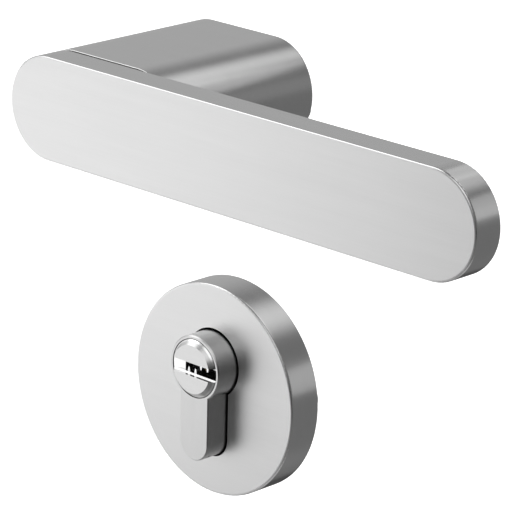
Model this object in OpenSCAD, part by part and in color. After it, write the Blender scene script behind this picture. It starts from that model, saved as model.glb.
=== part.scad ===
// Lever handle lockset, the half that is fitted to the outside of a door.
// A flat blade stands in front of a hollow neck, and the neck hides a sprung bearing base.
// Below it a round key rose surrounds a euro profile cylinder with a turning plug and cam.
// Millimetres. Origin: the spindle axis on the door face. +X runs to the lever tip, +Y into
// the door and +Z up. Every piece is drawn in the face frame, where x is to the right, y is
// up and z is the height above the door face.

/* [Lever] */
// Length of the blade from end to end
blade_length = 146.1; // [120:0.1:170]
// Height of the blade and of the neck
lever_height = 25.4; // [25:0.1:28]
// Thickness of the blade
blade_thick = 8.2; // [7.5:0.1:12]
// Distance from the door face to the front of the blade
projection = 55.8; // [54:0.1:66]
// Width of the neck along the blade
neck_width = 47; // [46:0.5:52]
// Wall of the hollow neck
neck_wall = 1.8; // [1.6:0.1:1.9]
// Radius of the blade's front edge
front_edge = 0.6; // [0.2:0.05:0.8]
// Radius of the blade's rear edge and of the neck's edge at the door
rear_edge = 0.6; // [0.2:0.05:0.8]
// Radius of the neck's edge at the shadow gap
neck_edge = 0.2; // [0.1:0.05:0.5]
// Width of the shadow gap between the blade and the neck
seam_gap = 0.6; // [0.2:0.05:0.8]
// Depth of the shadow gap
seam_depth = 1; // [0.6:0.1:1.2]
// How far the lever turns down
travel = 45; // [30:1:45]

/* [Spindle and bearing] */
// Width across the flats of the square spindle
spindle_w = 8; // [7:0.5:8]
// How far the spindle reaches into the door
spindle_reach = 14.5; // [8:0.5:40]
// Radius of the hub's journal
journal_r = 7; // [6.8:0.05:7]
// Radial running clearance of the journal and of the plug
running_gap = 0.05; // [0.02:0.01:0.1]
// Distance of each fixing boss from the spindle axis
boss_offset = 14; // [14:0.1:14.5]
// Radius of a hole tapped for an M4 bolt
m4_core_r = 1.65; // [1.6:0.05:1.75]

/* [Key rose] */
// Diameter of the rose
rose_d = 55.2; // [52:0.2:60]
// Height of the rose above the door face
rose_height = 9.3; // [8.5:0.1:12]
// Radius of the rose's front edge
rose_edge = 0.6; // [0.3:0.1:1]
// Distance from the cylinder axis down to the rose's centre
rose_drop = 7.3; // [7:0.1:8]
// Spacing of the two fixing bolts of the rose
rose_bolt_pitch = 38; // [36:1:40]

/* [Cylinder] */
// Distance from the spindle axis down to the cylinder axis
centre_distance = 72; // [70:1:92]
// Radius of the profile's round head
head_r = 8.5; // [8.5:0.1:8.6]
// Width of the profile's leg
leg_w = 10; // [9.8:0.1:10]
// Overall height of the profile
profile_height = 33; // [32.8:0.1:33.2]
// Height of the cylinder's front above the door face
cylinder_front = 15.9; // [14:0.1:18]
// Radius of the plug's core
plug_r = 6.5; // [6.3:0.1:6.6]
// Radius of the plug's visible face, with its chamfer
plug_face_r = 7.5; // [7.2:0.1:7.6]
// Gap round the plug's visible face
rim_gap = 0.2; // [0.1:0.05:0.3]
// How far the plug stands out of the cylinder's front
plug_proud = 1.2; // [1:0.1:1.6]
// Number of pin stacks
pin_count = 4; // [2:1:4]
// Spacing of the pin stacks
pin_pitch = 3.4; // [3.2:0.1:3.5]
// Reach of the cam's nose from the cylinder axis
cam_reach = 15; // [13:0.1:15.2]

/* [Hidden] */
$fn = 96;
over = 0.5;              // how far a cutting tool runs past the face it cuts
touch = 0.05;            // gap between pieces that are pressed or screwed together

lever_r = lever_height / 2;
neck_half = neck_width / 2 - lever_r;
tip_x = blade_length - neck_width / 2 - lever_r;
blade_back = projection - blade_thick;
neck_foot = 0.4;
hollow_r = lever_r - neck_wall;
front_wall = 4;
hollow_top = blade_back - front_wall;
neck_front = blade_back - seam_gap;

blade_screw_x = 11;
blade_screw_r = 2;
blade_screw_head_r = 3.8;
blade_screw_depth = 5.5;

base_tilt = -travel / 2;
collar_r = 9.8;
collar_top = 9;
boss_r = 4.2;
post_r = 3.7;
boss_top = 15.9;
lug_r = 3.9;
lug_depth = 6;
boss_hole_top = 12;
bush_r = 8;
flange_r = 9.6;
flange_t = 0.9;
recess_r = 8.6;
recess_h = 3;

clip_z = 1.5;
clip_t = 1;
clip_groove_r = 6.4;
clip_outer_r = 8.2;
journal_foot = 0.6;

plate_z = 16.2;
plate_t = 1.6;
plate_r = hollow_r - 0.3;
stop_pin_r = 1.25;
stop_pin_z = 12.8;
slot_r = stop_pin_r + 0.1;
slot_end_r = slot_r + 0.1;
tab_r = 0.8;
tab_offset = 9.95;
tab_angle = 75;
tab_foot = 14.2;
plate_screws_at = [[-15, 0], [9.2, 7.8], [9.2, -7.8]];
plate_screw_r = 1.25;
plate_screw_head_r = 2.2;
plate_screw_length = 7;

hub_z = plate_z + plate_t;
hub_top = 30;
bore_top = 27.5;
spindle_gap = 0.05;
grub_r = 2.5;
grub_z = 24;
grub_recess = 0.4;

spring_mean_r = 8.2;
spring_wire_r = 0.6;
spring_z = 10.7;
spring_pitch = 1.35;
spring_lean = acos((spring_mean_r - spring_wire_r - post_r - touch) / boss_offset);
spring_start = 180 + base_tilt + spring_lean;
spring_fixed_leg = boss_offset * sin(spring_lean);
tab_lead = acos((spring_mean_r + spring_wire_r + tab_r + touch) / tab_offset);
spring_turns = 4 + (tab_angle - tab_lead - spring_start) / 360;
spring_free_leg = 3.5;

ring_r = hollow_r - touch;
ring_inner_r = 10.1;
ring_foot = 0.15;
ring_top = 2.6;

rose_r = rose_d / 2;
rose_wall = 1.3;
rose_foot_edge = 0.2;
rose_inner_r = rose_r - rose_wall;
carrier_r = rose_inner_r - 0.1;
carrier_plate = 2;
carrier_rim = 2.2;
carrier_rim_top = 6.2;
carrier_boss_r = 4.6;
carrier_boss_top = 7.6;
carrier_hole_top = 6.4;
carrier_lug_depth = 5;
snap_z = 3.5;
snap_r = 0.35;
profile_gap = 0.5;
carrier_gap = 0.8;

leg_r = leg_w / 2;
leg_drop = profile_height - head_r - leg_r;
block_length = 17;
block_back = cylinder_front - block_length;
cam_slot = 9;
slot_back = block_back - cam_slot;
rear_web = 3;
cylinder_back = slot_back - rear_web;
web_top = -15.6;
fixing_hole_r = 2.1;
fixing_hole_y = -19.5;
fixing_hole_z = block_back - cam_slot / 2;
face_chamfer = 0.3;

plug_bore_r = plug_r + running_gap;
counterbore = 1.2;
plug_front = cylinder_front + plug_proud;
groove_half = 1.7;
groove_depth = 1.4;
keyway_left = -3.3;
keyway_half = 1.4;
ward_depth = 3;
floor_wards = [-2.1, 0.2];
roof_wards = [2.1, 4.4];
ward_w = 1.1;
ward_tip = 0.35;
ward_h = 1.3;
tail_r = 5.5;
tail_groove_r = 4.8;
tail_length = 2.6;
plug_clip_t = 0.8;
tongue_w = 2.4;
clutch_r = 4.5;
clutch_pin_r = 2;
cam_front = block_back - 1.5;
cam_back = slot_back + 0.2;
cam_ring_r = 7.8;
cam_nose_w = 5;
cam_key_w = 2;
cam_key_h = 0.8;

pin_r = 1.25;
chamber_r = 1.3;
first_pin_z = cylinder_front - 4.7;
key_pin_tip = -2.1;
key_pin_end = -plug_r + 0.2;
driver_top = -plug_bore_r - 0.1;
driver_length = 4;
plug_cap_top = -22;
plug_cap_end = -24.2;
pin_spring_wire = 0.18;
pin_spring_r = 0.95;
pin_spring_turns = 6;
hardened_pin_r = 0.8;
hardened_pin_x = 2.9;
hardened_pin_z = cylinder_front - 2.2;
hardened_pin_top = -9.5;
hardened_pin_end = -23;

function pin_heights() = [for (i = [0:pin_count - 1]) first_pin_z - i * pin_pitch];
function unit(v) = v / norm(v);

// Face frame: x to the right, y up and z out of the door, at a height on the door
module face_frame(height = 0) {
    translate([0, 0, height])
        rotate([90, 0, 0])
            children();
}

module cylinder_frame() {
    face_frame(-centre_distance)
        children();
}

module rose_frame() {
    face_frame(-centre_distance - rose_drop)
        children();
}

// Moves along z, the height above the door
module up(z) {
    translate([0, 0, z])
        children();
}

module prism(z1, z2) {
    up(z1)
        linear_extrude(z2 - z1)
            children();
}

module rod(r, z1, z2) {
    up(z1)
        cylinder(r = r, h = z2 - z1);
}

// Rod that stands on the y axis of the face frame, between two heights y
module upright_rod(r, y1, y2) {
    translate([0, y1, 0])
        rotate([-90, 0, 0])
            cylinder(r = r, h = y2 - y1);
}

module tube(outer_r, inner_r, z1, z2) {
    difference() {
        rod(outer_r, z1, z2);
        rod(inner_r, z1 - over, z2 + over);
    }
}

module stadium(half, r) {
    square([2 * half, 2 * r], center = true);
    for (side = [-1, 1])
        translate([side * half, 0])
            circle(r);
}

// Half section of a bar: its back and front edges are rounded
module bar_section(r, z1, z2, back, front) {
    translate([0, z1 + back])
        square([r, z2 - z1 - back - front]);
    translate([0, z1])
        square([r - max(back, front), z2 - z1]);
    translate([r - back, z1 + back])
        circle(back);
    translate([r - front, z2 - front])
        circle(front);
}

// Bar with half-round ends centred at x1 and x2, between the heights z1 and z2
module rounded_bar(x1, x2, r, z1, z2, back, front) {
    translate([x1, 0, 0])
        rotate([0, 0, 90])
            rotate_extrude(angle = 180)
                bar_section(r, z1, z2, back, front);
    translate([x2, 0, 0])
        rotate([0, 0, -90])
            rotate_extrude(angle = 180)
                bar_section(r, z1, z2, back, front);
    for (side = [0, 1])
        translate([x1 + side * (x2 - x1), 0, 0])
            rotate([0, 0, side * 180])
                rotate([90, 0, 90])
                    linear_extrude(x2 - x1)
                        bar_section(r, z1, z2, back, front);
}

// Countersunk screw with its head's face at z = 0 and its shank towards +z
module countersunk_screw(shank_r, head_r, length) {
    socket_r = 0.55 * shank_r;
    socket_depth = 0.8 * shank_r;
    difference() {
        union() {
            cylinder(r1 = head_r, r2 = shank_r, h = head_r - shank_r);
            cylinder(r = shank_r, h = length);
        }
        up(-over)
            cylinder(r = socket_r, h = socket_depth + over, $fn = 6);
    }
}

module countersunk_hole(shank_r, head_r, length) {
    up(-over)
        cylinder(r = head_r + touch, h = over + touch);
    up(touch)
        cylinder(r1 = head_r + touch, r2 = shank_r + touch, h = head_r - shank_r);
    cylinder(r = shank_r + touch, h = length + touch);
}

// Open ring that snaps into a groove
module snap_ring(inner_r, outer_r, z1, z2, gap) {
    difference() {
        tube(outer_r, inner_r, z1, z2);
        prism(z1 - over, z2 + over)
            translate([-gap / 2, -outer_r - over])
                square([gap, outer_r]);
    }
}

// Points of a wire: a straight leg, a coil about z and another straight leg
function coil(r, z, start, turns, pitch, leg_in, leg_out, steps) =
    let (sweep = 360 * turns,
         count = ceil(turns * steps),
         last = start + sweep,
         first_point = [r * cos(start), r * sin(start), z],
         last_point = [r * cos(last), r * sin(last), z + turns * pitch],
         turn = [for (k = [0:count])
             let (a = start + sweep * k / count)
                 [r * cos(a), r * sin(a), z + turns * pitch * k / count]])
    concat(
        leg_in > 0 ? [first_point - leg_in * [-sin(start), cos(start), 0]] : [],
        turn,
        leg_out > 0 ? [last_point + leg_out * [-sin(last), cos(last), 0]] : []);

// Round wire along a list of points that never runs straight up
module wire(path, r, sides) {
    count = len(path);
    points = [for (i = [0:count - 1])
        let (t = unit(path[min(i + 1, count - 1)] - path[max(i - 1, 0)]),
             u = unit(cross(t, [0, 0, 1])),
             v = cross(t, u))
            for (j = [0:sides - 1])
                path[i] + r * (cos(360 * j / sides) * u + sin(360 * j / sides) * v)];
    skin = [for (i = [0:count - 2]) for (j = [0:sides - 1]) for (half = [0, 1])
        let (k = (j + 1) % sides,
             here = i * sides,
             next = here + sides)
            half == 0 ? [here + j, next + j, next + k] : [here + j, next + k, here + k]];
    first_cap = [for (j = [0:sides - 1]) j];
    last_cap = [for (j = [sides - 1:-1:0]) (count - 1) * sides + j];
    polyhedron(points, concat([first_cap], skin, [last_cap]));
}

// Outline of the euro profile, grown by a gap where it is a hole
module euro_profile(grow = 0) {
    circle(head_r + grow);
    translate([-leg_r - grow, -leg_drop])
        square([leg_w + 2 * grow, leg_drop]);
    translate([0, -leg_drop])
        circle(leg_r + grow);
}

// Cylinder solid whose front outline is chamfered
module profile_body(z1, z2, chamfer) {
    for (round_end = [[0, head_r], [-leg_drop, leg_r]])
        translate([0, round_end[0], 0]) {
            rod(round_end[1], z1, z2 - chamfer);
            up(z2 - chamfer)
                cylinder(r1 = round_end[1], r2 = round_end[1] - chamfer, h = chamfer);
        }
    rotate([90, 0, 0])
        linear_extrude(leg_drop)
            polygon([[-leg_r, z1], [leg_r, z1], [leg_r, z2 - chamfer], [leg_r - chamfer, z2],
                     [chamfer - leg_r, z2], [-leg_r, z2 - chamfer]]);
}

// Plan of the fixing base: a round collar with a straight arm to each boss
module base_plan() {
    circle(collar_r);
    stadium(boss_offset, boss_r);
}

module at_bosses(offset_x) {
    for (side = [-1, 1])
        translate([side * offset_x, 0, 0])
            children();
}

// ---- Lever: the pieces that turn with the handle ----

module lever_blade() {
    color("gainsboro")
        face_frame()
            difference() {
                rounded_bar(-neck_half, tip_x, lever_r, blade_back, projection, rear_edge, front_edge);
                at_bosses(blade_screw_x)
                    rod(blade_screw_r + touch, blade_back - over, blade_back + blade_screw_depth);
            }
}

module lever_neck() {
    color("silver")
        face_frame()
            difference() {
                union() {
                    rounded_bar(-neck_half, neck_half, lever_r, neck_foot, neck_front, rear_edge, neck_edge);
                    prism(hollow_top, blade_back)
                        stadium(neck_half, lever_r - seam_depth);
                }
                prism(neck_foot - over, hollow_top)
                    stadium(neck_half, hollow_r);
                at_bosses(blade_screw_x)
                    up(hollow_top)
                        countersunk_hole(blade_screw_r, blade_screw_head_r, front_wall + over);
                up(grub_z)
                    upright_rod(grub_r + 2 * touch, -lever_r - over, -hollow_r + over);
            }
}

module blade_screws() {
    color("dimgray")
        face_frame()
            at_bosses(blade_screw_x)
                up(hollow_top + touch)
                    countersunk_screw(blade_screw_r, blade_screw_head_r, front_wall + blade_screw_depth - over);
}

module drive_hub() {
    color("darkgray")
        face_frame()
            difference() {
                union() {
                    prism(hub_z, hub_top)
                        stadium(neck_half, hollow_r - touch);
                    rod(journal_r, journal_foot, hub_z + over);
                }
                prism(journal_foot - over, bore_top)
                    square(spindle_w + 2 * spindle_gap, center = true);
                tube(journal_r + over, clip_groove_r, clip_z, clip_z + clip_t + touch);
                up(grub_z)
                    upright_rod(grub_r + touch, -lever_r, -spindle_w / 2);
                for (p = plate_screws_at)
                    translate(p)
                        rod(plate_screw_r + touch, hub_z - over, plate_z + plate_screw_length + touch);
            }
}

module grub_screw() {
    foot = -lever_r + grub_recess;
    socket_r = 1.45;
    socket_depth = 2.5;
    color("dimgray")
        face_frame()
            up(grub_z)
                difference() {
                    upright_rod(grub_r, foot, -spindle_w / 2);
                    translate([0, foot - over, 0])
                        rotate([-90, 0, 0])
                            cylinder(r = socket_r, h = socket_depth + over, $fn = 6);
                }
}

module spindle() {
    corner_r = 0.72 * spindle_w;
    nose_r = 0.55 * spindle_w;
    nose_h = 1.5;
    top = bore_top - over;
    color("gray")
        face_frame()
            intersection() {
                prism(-spindle_reach, top)
                    square(spindle_w, center = true);
                union() {
                    up(-spindle_reach)
                        cylinder(r1 = nose_r, r2 = corner_r, h = nose_h);
                    rod(corner_r, nose_h - spindle_reach, top);
                }
            }
}

module stop_plate() {
    color("darkslategray")
        face_frame()
            difference() {
                union() {
                    prism(plate_z, hub_z)
                        stadium(neck_half, plate_r);
                    rotate(tab_angle)
                        translate([tab_offset, 0, 0])
                            rod(tab_r, tab_foot, hub_z);
                }
                rod(journal_r + touch, plate_z - over, hub_z + over);
                rotate(-travel / 2)
                    up(plate_z - over)
                        rotate_extrude(angle = travel)
                            translate([boss_offset - slot_r, 0])
                                square([2 * slot_r, plate_t + 2 * over]);
                for (a = [-travel / 2, travel / 2])
                    rotate(a)
                        translate([boss_offset, 0, 0])
                            rod(slot_end_r, plate_z - over, hub_z + over);
                for (p = plate_screws_at)
                    translate([p[0], p[1], plate_z])
                        countersunk_hole(plate_screw_r, plate_screw_head_r, plate_t + over);
            }
}

module plate_screws() {
    color("dimgray")
        face_frame()
            for (p = plate_screws_at)
                translate([p[0], p[1], plate_z + touch])
                    countersunk_screw(plate_screw_r, plate_screw_head_r, plate_screw_length - touch);
}

module hub_circlip() {
    gap = 5;
    color("black")
        face_frame()
            snap_ring(clip_groove_r + touch, clip_outer_r, clip_z + touch, clip_z + clip_t, gap);
}

module glide_ring() {
    color("dimgray")
        face_frame()
            difference() {
                prism(ring_foot, ring_top)
                    stadium(neck_half, ring_r);
                prism(ring_foot - over, ring_top + over)
                    stadium(neck_half, ring_inner_r);
            }
}

// ---- Fixed base inside the neck ----

module fixing_base() {
    color("slategray")
        face_frame()
            rotate(base_tilt)
                difference() {
                    union() {
                        prism(0, collar_top)
                            base_plan();
                        at_bosses(boss_offset) {
                            rod(post_r, over, boss_top);
                            rod(lug_r, -lug_depth, over);
                        }
                    }
                    rod(bush_r, -over, collar_top + over);
                    rod(recess_r, -over, recess_h);
                    at_bosses(boss_offset)
                        rod(m4_core_r, -lug_depth - over, boss_hole_top);
                    translate([boss_offset, 0, 0])
                        rod(stop_pin_r, stop_pin_z, boss_top + over);
                }
}

module bearing_bush() {
    color("darkgoldenrod")
        face_frame()
            difference() {
                union() {
                    rod(bush_r, recess_h, collar_top + flange_t / 2);
                    rod(flange_r, collar_top, collar_top + flange_t);
                }
                rod(journal_r + running_gap, recess_h - over, collar_top + flange_t + over);
            }
}

module stop_pin() {
    color("dimgray")
        face_frame()
            rotate(base_tilt)
                translate([boss_offset, 0, 0])
                    rod(stop_pin_r, stop_pin_z, hub_z - 0.4);
}

module return_spring() {
    steps = 30;
    sides = 10;
    color("lightsteelblue")
        face_frame()
            wire(coil(spring_mean_r, spring_z, spring_start, spring_turns, spring_pitch,
                      spring_fixed_leg, spring_free_leg, steps),
                 spring_wire_r, sides);
}

// ---- Key rose ----

module rose_cover() {
    color("gainsboro")
        rose_frame()
            difference() {
                rotate_extrude()
                    bar_section(rose_r, 0, rose_height, rose_foot_edge, rose_edge);
                rod(rose_inner_r, -over, rose_height - rose_wall);
                up(snap_z)
                    rotate_extrude()
                        translate([rose_inner_r, 0])
                            circle(snap_r);
                translate([0, rose_drop, 0])
                    prism(rose_height - 2 * rose_wall, rose_height + over)
                        euro_profile(profile_gap);
            }
}

module rose_carrier() {
    color("dimgray")
        rose_frame()
            difference() {
                union() {
                    rod(carrier_r, 0, carrier_plate);
                    tube(carrier_r, carrier_r - carrier_rim, 0, carrier_rim_top);
                    at_bosses(rose_bolt_pitch / 2) {
                        rod(carrier_boss_r, 0, carrier_boss_top);
                        rod(lug_r, -carrier_lug_depth, over);
                    }
                    up(snap_z)
                        rotate_extrude()
                            translate([carrier_r, 0])
                                circle(snap_r);
                }
                translate([0, rose_drop, 0])
                    prism(-over, carrier_boss_top)
                        euro_profile(carrier_gap);
                at_bosses(rose_bolt_pitch / 2)
                    rod(m4_core_r, -carrier_lug_depth - over, carrier_hole_top);
            }
}

// ---- Euro profile cylinder ----

module cylinder_body() {
    color("silver")
        cylinder_frame()
            difference() {
                profile_body(cylinder_back, cylinder_front, face_chamfer);
                rod(plug_bore_r, block_back - over, cylinder_front + over);
                rod(plug_face_r + rim_gap, cylinder_front - counterbore - touch, cylinder_front + over);
                prism(slot_back, block_back)
                    translate([-head_r - over, web_top])
                        square([2 * (head_r + over), head_r + over - web_top]);
                rod(clutch_pin_r + running_gap, cylinder_back - over, slot_back + over);
                translate([0, fixing_hole_y, fixing_hole_z])
                    rotate([0, 90, 0])
                        cylinder(r = fixing_hole_r, h = leg_w + 2 * over, center = true);
                for (z = pin_heights())
                    up(z)
                        upright_rod(chamber_r, -profile_height, -plug_r + over);
                for (side = [-1, 1])
                    translate([side * hardened_pin_x, 0, hardened_pin_z])
                        upright_rod(hardened_pin_r, -profile_height, hardened_pin_top);
            }
}

module cylinder_plug() {
    flange_back = cylinder_front - counterbore;
    groove_floor = plug_front - groove_depth;
    color("lightgray")
        cylinder_frame()
            difference() {
                union() {
                    rod(plug_r, block_back, flange_back + over);
                    rod(plug_face_r, flange_back, cylinder_front);
                    up(cylinder_front)
                        cylinder(r1 = plug_face_r, r2 = plug_face_r - plug_proud, h = plug_proud);
                    rod(tail_r, block_back - tail_length, block_back + over);
                }
                prism(groove_floor, plug_front + over)
                    square([4 * plug_face_r, 2 * groove_half], center = true);
                prism(block_back + 2, groove_floor - ward_depth + touch)
                    keyway_plan();
                prism(groove_floor - ward_depth, groove_floor + over)
                    difference() {
                        keyway_plan();
                        ward_plan();
                    }
                tube(tail_r + over, tail_groove_r, block_back - plug_clip_t - 2 * touch, block_back - touch);
                prism(block_back - tail_length - over, block_back - 1)
                    square([4 * tail_r, tongue_w], center = true);
                for (z = pin_heights())
                    up(z)
                        upright_rod(chamber_r, -plug_r - over, 0);
            }
}

module keyway_plan() {
    translate([keyway_left, -keyway_half])
        square([2 * plug_face_r, 2 * keyway_half]);
}

module ward_plan() {
    for (x = floor_wards)
        translate([x, -keyway_half])
            ward();
    for (x = roof_wards)
        translate([x, keyway_half])
            rotate(180)
                ward();
}

// Pointed ward that stands on a wall of the keyway at y = 0
module ward() {
    polygon([[-ward_w / 2, -over], [ward_w / 2, -over], [ward_tip / 2, ward_h], [-ward_tip / 2, ward_h]]);
}

module key_pins() {
    tip = 0.8;
    color("goldenrod")
        cylinder_frame()
            for (z = pin_heights())
                up(z) {
                    upright_rod(pin_r, key_pin_end, key_pin_tip - tip);
                    translate([0, key_pin_tip - tip, 0])
                        rotate([-90, 0, 0])
                            cylinder(r1 = pin_r, r2 = pin_r / 3, h = tip);
                }
}

module driver_pins() {
    color("darkgoldenrod")
        cylinder_frame()
            for (z = pin_heights())
                up(z)
                    upright_rod(pin_r, driver_top - driver_length, driver_top);
}

module pin_springs() {
    foot = plug_cap_top + pin_spring_wire + touch;
    head = driver_top - driver_length - pin_spring_wire - touch;
    steps = 14;
    sides = 6;
    color("lightsteelblue")
        cylinder_frame()
            for (z = pin_heights())
                translate([0, foot, z])
                    rotate([-90, 0, 0])
                        wire(coil(pin_spring_r, 0, 0, pin_spring_turns,
                                  (head - foot) / pin_spring_turns, 0, 0, steps),
                             pin_spring_wire, sides);
}

module chamber_caps() {
    color("peru")
        cylinder_frame()
            for (z = pin_heights())
                up(z)
                    upright_rod(chamber_r, plug_cap_end, plug_cap_top);
}

module hardened_pins() {
    color("dimgray")
        cylinder_frame()
            for (side = [-1, 1])
                translate([side * hardened_pin_x, 0, hardened_pin_z])
                    upright_rod(hardened_pin_r, hardened_pin_end, hardened_pin_top);
}

module plug_circlip() {
    gap = 3;
    color("black")
        cylinder_frame()
            snap_ring(tail_groove_r + touch, tail_r + 1.4, block_back - plug_clip_t - touch,
                      block_back - 2 * touch, gap);
}

module cam_clutch() {
    drum_front = block_back - tail_length - touch;
    color("lightgray")
        cylinder_frame()
            union() {
                rod(clutch_r, slot_back + touch, drum_front);
                rod(clutch_pin_r, cylinder_back + touch, slot_back + over);
                intersection() {
                    rod(clutch_r, drum_front - over, block_back - 1 - touch);
                    prism(drum_front - over, block_back - 1 - touch)
                        square([4 * clutch_r, tongue_w - 2 * touch], center = true);
                }
                prism(cam_back, drum_front)
                    translate([0, clutch_r])
                        square([cam_key_w - 2 * touch, 2 * (cam_key_h - touch)], center = true);
            }
}

module cylinder_cam() {
    color("dimgray")
        cylinder_frame()
            difference() {
                union() {
                    rod(cam_ring_r, cam_back, cam_front);
                    intersection() {
                        rod(cam_reach, cam_back, cam_front);
                        prism(cam_back, cam_front)
                            translate([-cam_nose_w / 2, -cam_reach])
                                square([cam_nose_w, cam_reach]);
                    }
                }
                rod(clutch_r + touch, cam_back - over, cam_front + over);
                rod(tail_r + 1.5, cam_front - 1.3, cam_front + over);
                prism(cam_back - over, cam_front + over)
                    translate([0, clutch_r])
                        square([cam_key_w, 2 * cam_key_h], center = true);
            }
}

lever_blade();
lever_neck();
blade_screws();
drive_hub();
grub_screw();
spindle();
stop_plate();
plate_screws();
hub_circlip();
glide_ring();
fixing_base();
bearing_bush();
stop_pin();
return_spring();
rose_cover();
rose_carrier();
cylinder_body();
cylinder_plug();
key_pins();
driver_pins();
pin_springs();
chamber_caps();
hardened_pins();
plug_circlip();
cam_clutch();
cylinder_cam();
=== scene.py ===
import math

import bpy
from mathutils import Matrix, Vector


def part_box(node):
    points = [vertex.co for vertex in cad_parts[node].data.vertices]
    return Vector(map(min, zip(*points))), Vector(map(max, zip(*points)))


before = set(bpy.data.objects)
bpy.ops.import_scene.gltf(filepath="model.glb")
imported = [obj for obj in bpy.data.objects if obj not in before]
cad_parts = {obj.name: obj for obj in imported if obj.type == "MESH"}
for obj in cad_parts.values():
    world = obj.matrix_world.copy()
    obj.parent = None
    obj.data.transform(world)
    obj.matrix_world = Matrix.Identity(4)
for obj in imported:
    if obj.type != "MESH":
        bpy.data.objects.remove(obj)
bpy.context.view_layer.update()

SCENE = bpy.context.scene


# ---- Camera: a long lens, in front on the right and a little above ----

CAMERA_AZIMUTH = 43.99
CAMERA_ELEVATION = 18.11
CAMERA_ROLL = 1.31
CAMERA_DISTANCE = 0.8044
CAMERA_TARGET = Vector((0.00505, 0.0, -0.04479))
LENS = 227.7
SENSOR = 36.0
NEAREST_SEEN = 0.01
FURTHEST_SEEN = 50


def add_camera():
    azimuth = math.radians(CAMERA_AZIMUTH)
    elevation = math.radians(CAMERA_ELEVATION)
    roll = math.radians(CAMERA_ROLL)
    back = Vector((math.sin(azimuth) * math.cos(elevation),
                   -math.cos(azimuth) * math.cos(elevation),
                   math.sin(elevation)))
    right = Vector((0, 0, 1)).cross(back).normalized()
    up = back.cross(right)
    rolled_right = right * math.cos(roll) + up * math.sin(roll)
    rolled_up = up * math.cos(roll) - right * math.sin(roll)
    data = bpy.data.cameras.new("camera")
    data.lens = LENS
    data.sensor_width = SENSOR
    data.clip_start = NEAREST_SEEN
    data.clip_end = FURTHEST_SEEN
    camera = bpy.data.objects.new("camera", data)
    SCENE.collection.objects.link(camera)
    camera.matrix_world = (Matrix.Translation(CAMERA_TARGET + back * CAMERA_DISTANCE)
                           @ Matrix((rolled_right, rolled_up, back)).transposed().to_4x4())
    SCENE.camera = camera


# ---- Node helpers ----

class Tree:
    """Short names for building a node tree."""

    def __init__(self, tree):
        self.tree = tree
        tree.nodes.clear()

    def add(self, kind, inputs=None, **settings):
        node = self.tree.nodes.new("ShaderNode" + kind)
        for name, value in settings.items():
            setattr(node, name, value)
        for socket, value in (inputs or {}).items():
            if isinstance(value, bpy.types.NodeSocket):
                self.tree.links.new(value, node.inputs[socket])
            else:
                node.inputs[socket].default_value = value
        return node

    def math(self, operation, *values):
        return self.add("Math", dict(enumerate(values)), operation=operation).outputs[0]

    def ramp(self, value, low, high, to_low=0.0, to_high=1.0):
        """Goes smoothly from to_low at low to to_high at high."""
        inputs = {"Value": value, "From Min": low, "From Max": high, "To Min": to_low, "To Max": to_high}
        return self.add("MapRange", inputs, interpolation_type="SMOOTHSTEP").outputs["Result"]

    def noise(self, place, detail, roughness):
        inputs = {"Vector": place, "Scale": 1.0, "Detail": detail, "Roughness": roughness}
        return self.add("TexNoise", inputs).outputs["Fac"]

    def mix(self, amount, a, b):
        factor, first, second, result = 0, 6, 7, 2      # the sockets of a Mix node set to colours
        node = self.add("Mix", {factor: amount, first: a, second: b}, data_type="RGBA")
        return node.outputs[result]

    def finish(self, shader, output="OutputMaterial"):
        self.tree.links.new(shader.outputs[0], self.add(output).inputs["Surface"])


# ---- Studio ----

# Far soft lights: the azimuth and elevation they stand at, their half angle and softness in degrees,
# and their brightness. A negative brightness is a dark card.
SOFT_LIGHTS = [
    (-165, 5, 15, 30, 0.5),      # wide glow from the left, on every front face
    (75, 65, 10, 40, 0.9),       # high behind: the bright stripe round each curved side
    (45, 10, 8, 16, 0.07),       # faint strip behind on the right: softens the dark right sides
    (158, 0, 44, 40, 0.27),      # back wall on the left: the flat top sides
    (55, -75, 15, 35, 0.35),     # glow from the ground
    (-158, 46, 18, 18, 1.6),     # above on the left: the front edges' highlights
    (-75, 42, 22, 20, 0.9),      # high in front: the highlights of the round ends
    (-44, -8, 14, 16, -0.18),    # dark card below the camera: the dark line on the right edges
    (-110, -50, 18, 20, 0.3),    # below in front: the lower round ends
    (-172, -48, 18, 20, 0.7),    # below on the left: the lower front edges
    (130, -34, 12, 14, -0.24),   # dark card below behind: the lower ends stay dark
    (90, -5, 16, 20, 1.2),       # straight behind: the back of the lever and of the rose
]
ROOM_BRIGHTNESS = 0.165
# Square panels near the object: where each hangs, the place it faces, its width and its power
PANELS = [
    # In front on the left: the front faces, brightest at their left ends
    ((-0.332, -0.428, -0.200), (0.03, -0.05, -0.03), 0.30, 0.26),
    ((-0.396, -0.495, 0.086), (0.03, -0.05, -0.03), 0.30, 0.31),
    ((-0.548, -0.221, -0.200), (0.03, -0.05, -0.03), 0.30, 0.25),
    # Above and behind the lever, right of the neck: a wider stripe on the neck and the blade's end
    ((0.080, 0.045, 0.087), (0.07, -0.04, 0.0), 0.060, 0.0038),
    # Behind the blade's end and behind the rose, both on the right: the second stripe on each
    ((0.171, 0.003, 0.031), (0.12, -0.05, 0.0), 0.045, 0.0018),
    ((0.062, 0.029, -0.065), (0.025, 0.0, -0.075), 0.025, 0.00045),
]
FLOOR_HEIGHT = -1.6
FLOOR_SIZE = 20
FLOOR_GREY = (0.9, 0.9, 0.9, 1)
FLOOR_ROUGHNESS = 0.9
WHITE = (1, 1, 1, 1)


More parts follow.
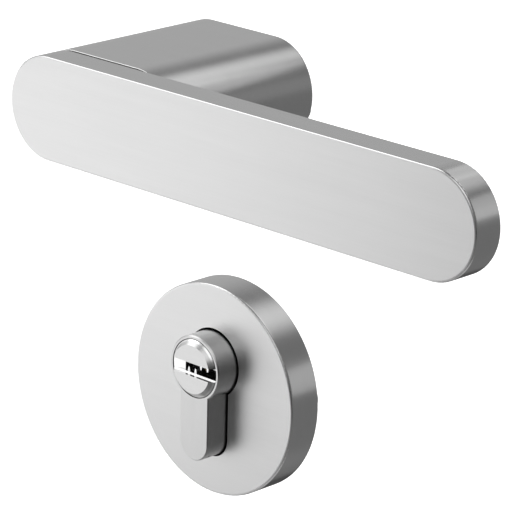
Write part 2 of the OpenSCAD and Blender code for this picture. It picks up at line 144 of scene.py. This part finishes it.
def add_world():
    """A dim room with soft lights far away. The camera sees plain white behind the object."""
    world = bpy.data.worlds.new("studio")
    world.use_nodes = True
    SCENE.world = world
    t = Tree(world.node_tree)
    direction = t.add("TexCoord").outputs["Generated"]
    total = ROOM_BRIGHTNESS
    for azimuth, elevation, half_angle, softness, brightness in SOFT_LIGHTS:
        turn = math.radians(azimuth)
        lift = math.radians(elevation)
        aim = (math.cos(lift) * math.cos(turn), math.cos(lift) * math.sin(turn), math.sin(lift))
        dot = t.add("VectorMath", {0: direction, 1: aim}, operation="DOT_PRODUCT")
        near = math.cos(math.radians(max(half_angle - softness / 2, 0)))
        far = math.cos(math.radians(half_angle + softness / 2))
        light = t.ramp(dot.outputs["Value"], far, near, 0, brightness)
        total = t.math("ADD", light, total)
    total = t.math("MAXIMUM", total, 0.0)
    grey = t.add("CombineColor", {0: total, 1: total, 2: total}).outputs[0]
    seen = t.add("LightPath").outputs["Is Camera Ray"]
    t.finish(t.add("Background", {"Color": t.mix(seen, grey, WHITE), "Strength": 1.0}), "OutputWorld")


def add_panels():
    for place, target, width, power in PANELS:
        data = bpy.data.lights.new("panel", "AREA")
        data.size = width
        data.energy = power
        panel = bpy.data.objects.new("panel", data)
        SCENE.collection.objects.link(panel)
        panel.location = place
        panel.rotation_euler = (Vector(target) - Vector(place)).to_track_quat("-Z", "Y").to_euler()
        panel.visible_camera = False


def add_floor():
    half = FLOOR_SIZE / 2
    mesh = bpy.data.meshes.new("floor")
    mesh.from_pydata([(-half, -half, FLOOR_HEIGHT), (half, -half, FLOOR_HEIGHT),
                      (half, half, FLOOR_HEIGHT), (-half, half, FLOOR_HEIGHT)], [], [(0, 1, 2, 3)])
    floor = bpy.data.objects.new("floor", mesh)
    SCENE.collection.objects.link(floor)
    material = bpy.data.materials.new("floor")
    material.use_nodes = True
    t = Tree(material.node_tree)
    t.finish(t.add("BsdfPrincipled", {"Base Color": FLOOR_GREY, "Roughness": FLOOR_ROUGHNESS,
                                      "Emission Color": WHITE, "Emission Strength": 1.0}))
    mesh.materials.append(material)
    floor.visible_glossy = False
    floor.visible_diffuse = False


# ---- Materials ----

NO_GRAIN = (0, 0, 0)
ALONG_X = (1, 0, 0)
ALONG_Z = (0, 0, 1)

BAND_WIDTH = 14              # tone bands, in grain lines
BAND_STRETCH = 0.25          # against the grain's own stretch
SMUDGES_PER_METRE = 70
PITS_PER_METRE = 2600
EDGE_WIDTH = 0.0005          # how far the wear of an edge reaches
PAINTED_SHADE_REACH = 0.001           # painted shade darkens the colour where another surface is nearer than this
BUMP_DEPTH = 0.00003
SMUDGE_TONE = 0.6            # against the grain's own change of tone
COAT_LOSS = 0.4              # how much more of a coat is gone where an edge is worn
WORN_POLISH = -0.08          # change of roughness where an edge is worn
PAINTED_SHADE_LEFT = 0.2             # what the painted shade in recesses and gaps leaves of the colour at its darkest
# The range over which each mark comes in, in its own measure
EDGE_BEND = (0.995, 0.85)
WEAR_PATCHES = (0.35, 0.65)
# painted shade in recesses: darkest where the openness is the first, gone where it is the second
SHADED_TO_OPEN = (0.3, 0.75)
COAT_PATCHES = (0.42, 0.6)
PIT_SPOTS = (0.58, 0.7)
SIDE_TO_FACE = (0.6, 0.98)

SLOT_DEPTH = 0.0008          # the plug's slot is bright from this far behind its face
SLOT_BLEND = 0.0001

NYLON_TEXTURE_PER_METRE = 3500
NYLON_SMUDGES_PER_METRE = 90
NYLON_TONE = 1.5
NYLON_PATCHES = (0.3, 0.7)
NYLON_ROUGHNESS = (0.42, 0.58)
NYLON_BUMP = 0.3


def stretched(t, position, frequency, grain, stretch=1):
    """Position scaled so that noise cells are 1/frequency metres wide and stretched along the grain."""
    scale = tuple(frequency / (1 + (stretch - 1) * g) for g in grain)
    return t.add("VectorMath", {0: position, 1: scale}, operation="MULTIPLY").outputs[0]


def about_zero(t, noise):
    return t.math("SUBTRACT", noise, 0.5)


def metal(name, colour, roughness, grain=NO_GRAIN, tone=0.05, rough_spread=0.06, bump=0.12,
          line_width=0.00022, stretch=60, wear=0.12, pits=0.0, coat_colour=None, face_roughness=None,
          bright_slot=None):
    """Bare or plated metal: fine grain along an axis, soft tone bands, smudges, worn edges, and painted
    shade that darkens the colour in recesses and gaps between parts.

    tone, wear and pits are the strength of those marks. coat_colour is a patchy coat's colour, and
    face_roughness the roughness of surfaces square to Y. The last argument gives a slot's Y, and the
    brighter colour and the roughness that the slot takes behind it.
    """
    material = bpy.data.materials[name]
    material.use_nodes = True
    t = Tree(material.node_tree)
    position = t.add("TexCoord").outputs["Object"]
    fine = t.noise(stretched(t, position, 1 / line_width, grain, stretch), detail=3.0, roughness=0.65)
    band_place = stretched(t, position, 1 / (BAND_WIDTH * line_width), grain, stretch * BAND_STRETCH)
    bands = t.noise(band_place, detail=2.0, roughness=0.5)
    smudge_place = stretched(t, position, SMUDGES_PER_METRE, grain, stretch=2)
    smudge = t.noise(smudge_place, detail=3.0, roughness=0.55)

    rounded = t.add("Bevel", {"Radius": EDGE_WIDTH}, samples=6).outputs[0]
    flat = t.add("NewGeometry").outputs["Normal"]
    bend = t.add("VectorMath", {0: rounded, 1: flat}, operation="DOT_PRODUCT").outputs["Value"]
    worn = t.math("MULTIPLY", t.ramp(bend, *EDGE_BEND), t.ramp(smudge, *WEAR_PATCHES))

    shift = t.math("MULTIPLY", about_zero(t, fine), tone)
    shift = t.math("MULTIPLY_ADD", about_zero(t, bands), tone, shift)
    shift = t.math("MULTIPLY_ADD", about_zero(t, smudge), tone * SMUDGE_TONE, shift)
    shift = t.math("MULTIPLY_ADD", worn, wear, t.math("ADD", shift, 1.0))
    # Painted shade: the colour is darkened in recesses, seams and gaps between parts, where shade falls
    open_air = t.add("AmbientOcclusion", {"Distance": PAINTED_SHADE_REACH}, samples=8).outputs["AO"]
    shift = t.math("MULTIPLY", shift, t.ramp(open_air, *SHADED_TO_OPEN, PAINTED_SHADE_LEFT, 1.0))
    base = t.add("VectorMath", {0: colour, "Scale": shift}, operation="SCALE").outputs[0]
    if coat_colour:
        coat = t.math("SUBTRACT", smudge, t.math("MULTIPLY", worn, COAT_LOSS))
        base = t.mix(t.ramp(coat, *COAT_PATCHES), base, (*coat_colour, 1))

    if face_roughness:
        turned = t.add("SeparateXYZ", {0: t.add("TexCoord").outputs["Normal"]}).outputs["Y"]
        roughness = t.ramp(t.math("ABSOLUTE", turned), *SIDE_TO_FACE, roughness, face_roughness)
    # the plug's slot, from its Y back, is coloured brighter and takes another roughness
    if bright_slot:
        slot_y, slot_colour, slot_roughness = bright_slot
        depth = t.add("SeparateXYZ", {0: position}).outputs["Y"]
        inside = t.ramp(depth, slot_y - SLOT_BLEND, slot_y + SLOT_BLEND)
        base = t.mix(inside, base, (*slot_colour, 1))
        roughness = t.ramp(inside, 0, 1, roughness, slot_roughness)
    rough = t.math("MULTIPLY_ADD", about_zero(t, smudge), rough_spread,
                   t.math("MULTIPLY_ADD", about_zero(t, fine), rough_spread, roughness))
    rough = t.math("MULTIPLY_ADD", worn, WORN_POLISH, rough)

    height = fine
    if pits:
        spots = t.noise(stretched(t, position, PITS_PER_METRE, NO_GRAIN), detail=2.0, roughness=0.6)
        height = t.math("MULTIPLY_ADD", t.ramp(spots, *PIT_SPOTS), -pits, fine)
    normal = t.add("Bump", {"Strength": bump, "Distance": BUMP_DEPTH, "Height": height}).outputs[0]
    t.finish(t.add("BsdfPrincipled", {"Base Color": base, "Metallic": 1.0, "Roughness": rough,
                                      "Normal": normal}))


def nylon(name, colour):
    """Moulded plastic: fine spark-eroded texture, softly worn shine."""
    material = bpy.data.materials[name]
    material.use_nodes = True
    t = Tree(material.node_tree)
    position = t.add("TexCoord").outputs["Object"]
    texture_place = stretched(t, position, NYLON_TEXTURE_PER_METRE, NO_GRAIN)
    texture = t.noise(texture_place, detail=2.0, roughness=0.6)
    smudge_place = stretched(t, position, NYLON_SMUDGES_PER_METRE, NO_GRAIN)
    smudge = t.noise(smudge_place, detail=3.0, roughness=0.5)
    base = t.mix(smudge, (*colour, 1), (*(c * NYLON_TONE for c in colour), 1))
    rough = t.ramp(smudge, *NYLON_PATCHES, *NYLON_ROUGHNESS)
    normal = t.add("Bump", {"Strength": NYLON_BUMP, "Distance": BUMP_DEPTH, "Height": texture}).outputs[0]
    t.finish(t.add("BsdfPrincipled", {"Base Color": base, "Roughness": rough, "Normal": normal}))


def add_materials():
    metal("satin_steel", (0.80, 0.80, 0.80), 0.22, ALONG_X, face_roughness=0.40)
    metal("satin_nickel", (0.66, 0.66, 0.66), 0.30, ALONG_Z, line_width=0.00012, stretch=20)
    slot_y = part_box("cylinder_plug")[0].y + SLOT_DEPTH
    metal("bright_nickel", (0.68, 0.68, 0.68), 0.24, ALONG_X, line_width=0.00010, bump=0.06,
          bright_slot=(slot_y, (0.95, 0.95, 0.95), 0.16))
    metal("plated_steel", (0.62, 0.63, 0.64), 0.32, ALONG_Z, line_width=0.00025, tone=0.12, bump=0.15,
          coat_colour=(0.52, 0.55, 0.58))
    metal("cast_zinc", (0.60, 0.61, 0.62), 0.46, tone=0.16, rough_spread=0.12, bump=0.35,
          line_width=0.0004, wear=0.5, pits=0.5)
    metal("black_screw", (0.055, 0.055, 0.06), 0.38, tone=0.2, bump=0.15, line_width=0.0002, wear=3.0)
    metal("spring_steel", (0.42, 0.43, 0.45), 0.28, tone=0.15, bump=0.1, line_width=0.00015, stretch=8,
          wear=0.2)
    metal("bronze", (0.62, 0.42, 0.22), 0.4, tone=0.2, bump=0.25, line_width=0.00025, wear=0.3, pits=0.7)
    metal("pin_brass", (0.80, 0.60, 0.28), 0.26, ALONG_Z, tone=0.1, bump=0.1, line_width=0.00012)
    metal("hard_steel", (0.36, 0.36, 0.37), 0.3, ALONG_Z, tone=0.12, bump=0.12, line_width=0.00015,
          wear=0.5)
    nylon("nylon", (0.045, 0.045, 0.047))


add_camera()
add_world()
add_panels()
add_floor()
add_materials()
SCENE.view_settings.view_transform = "Standard"
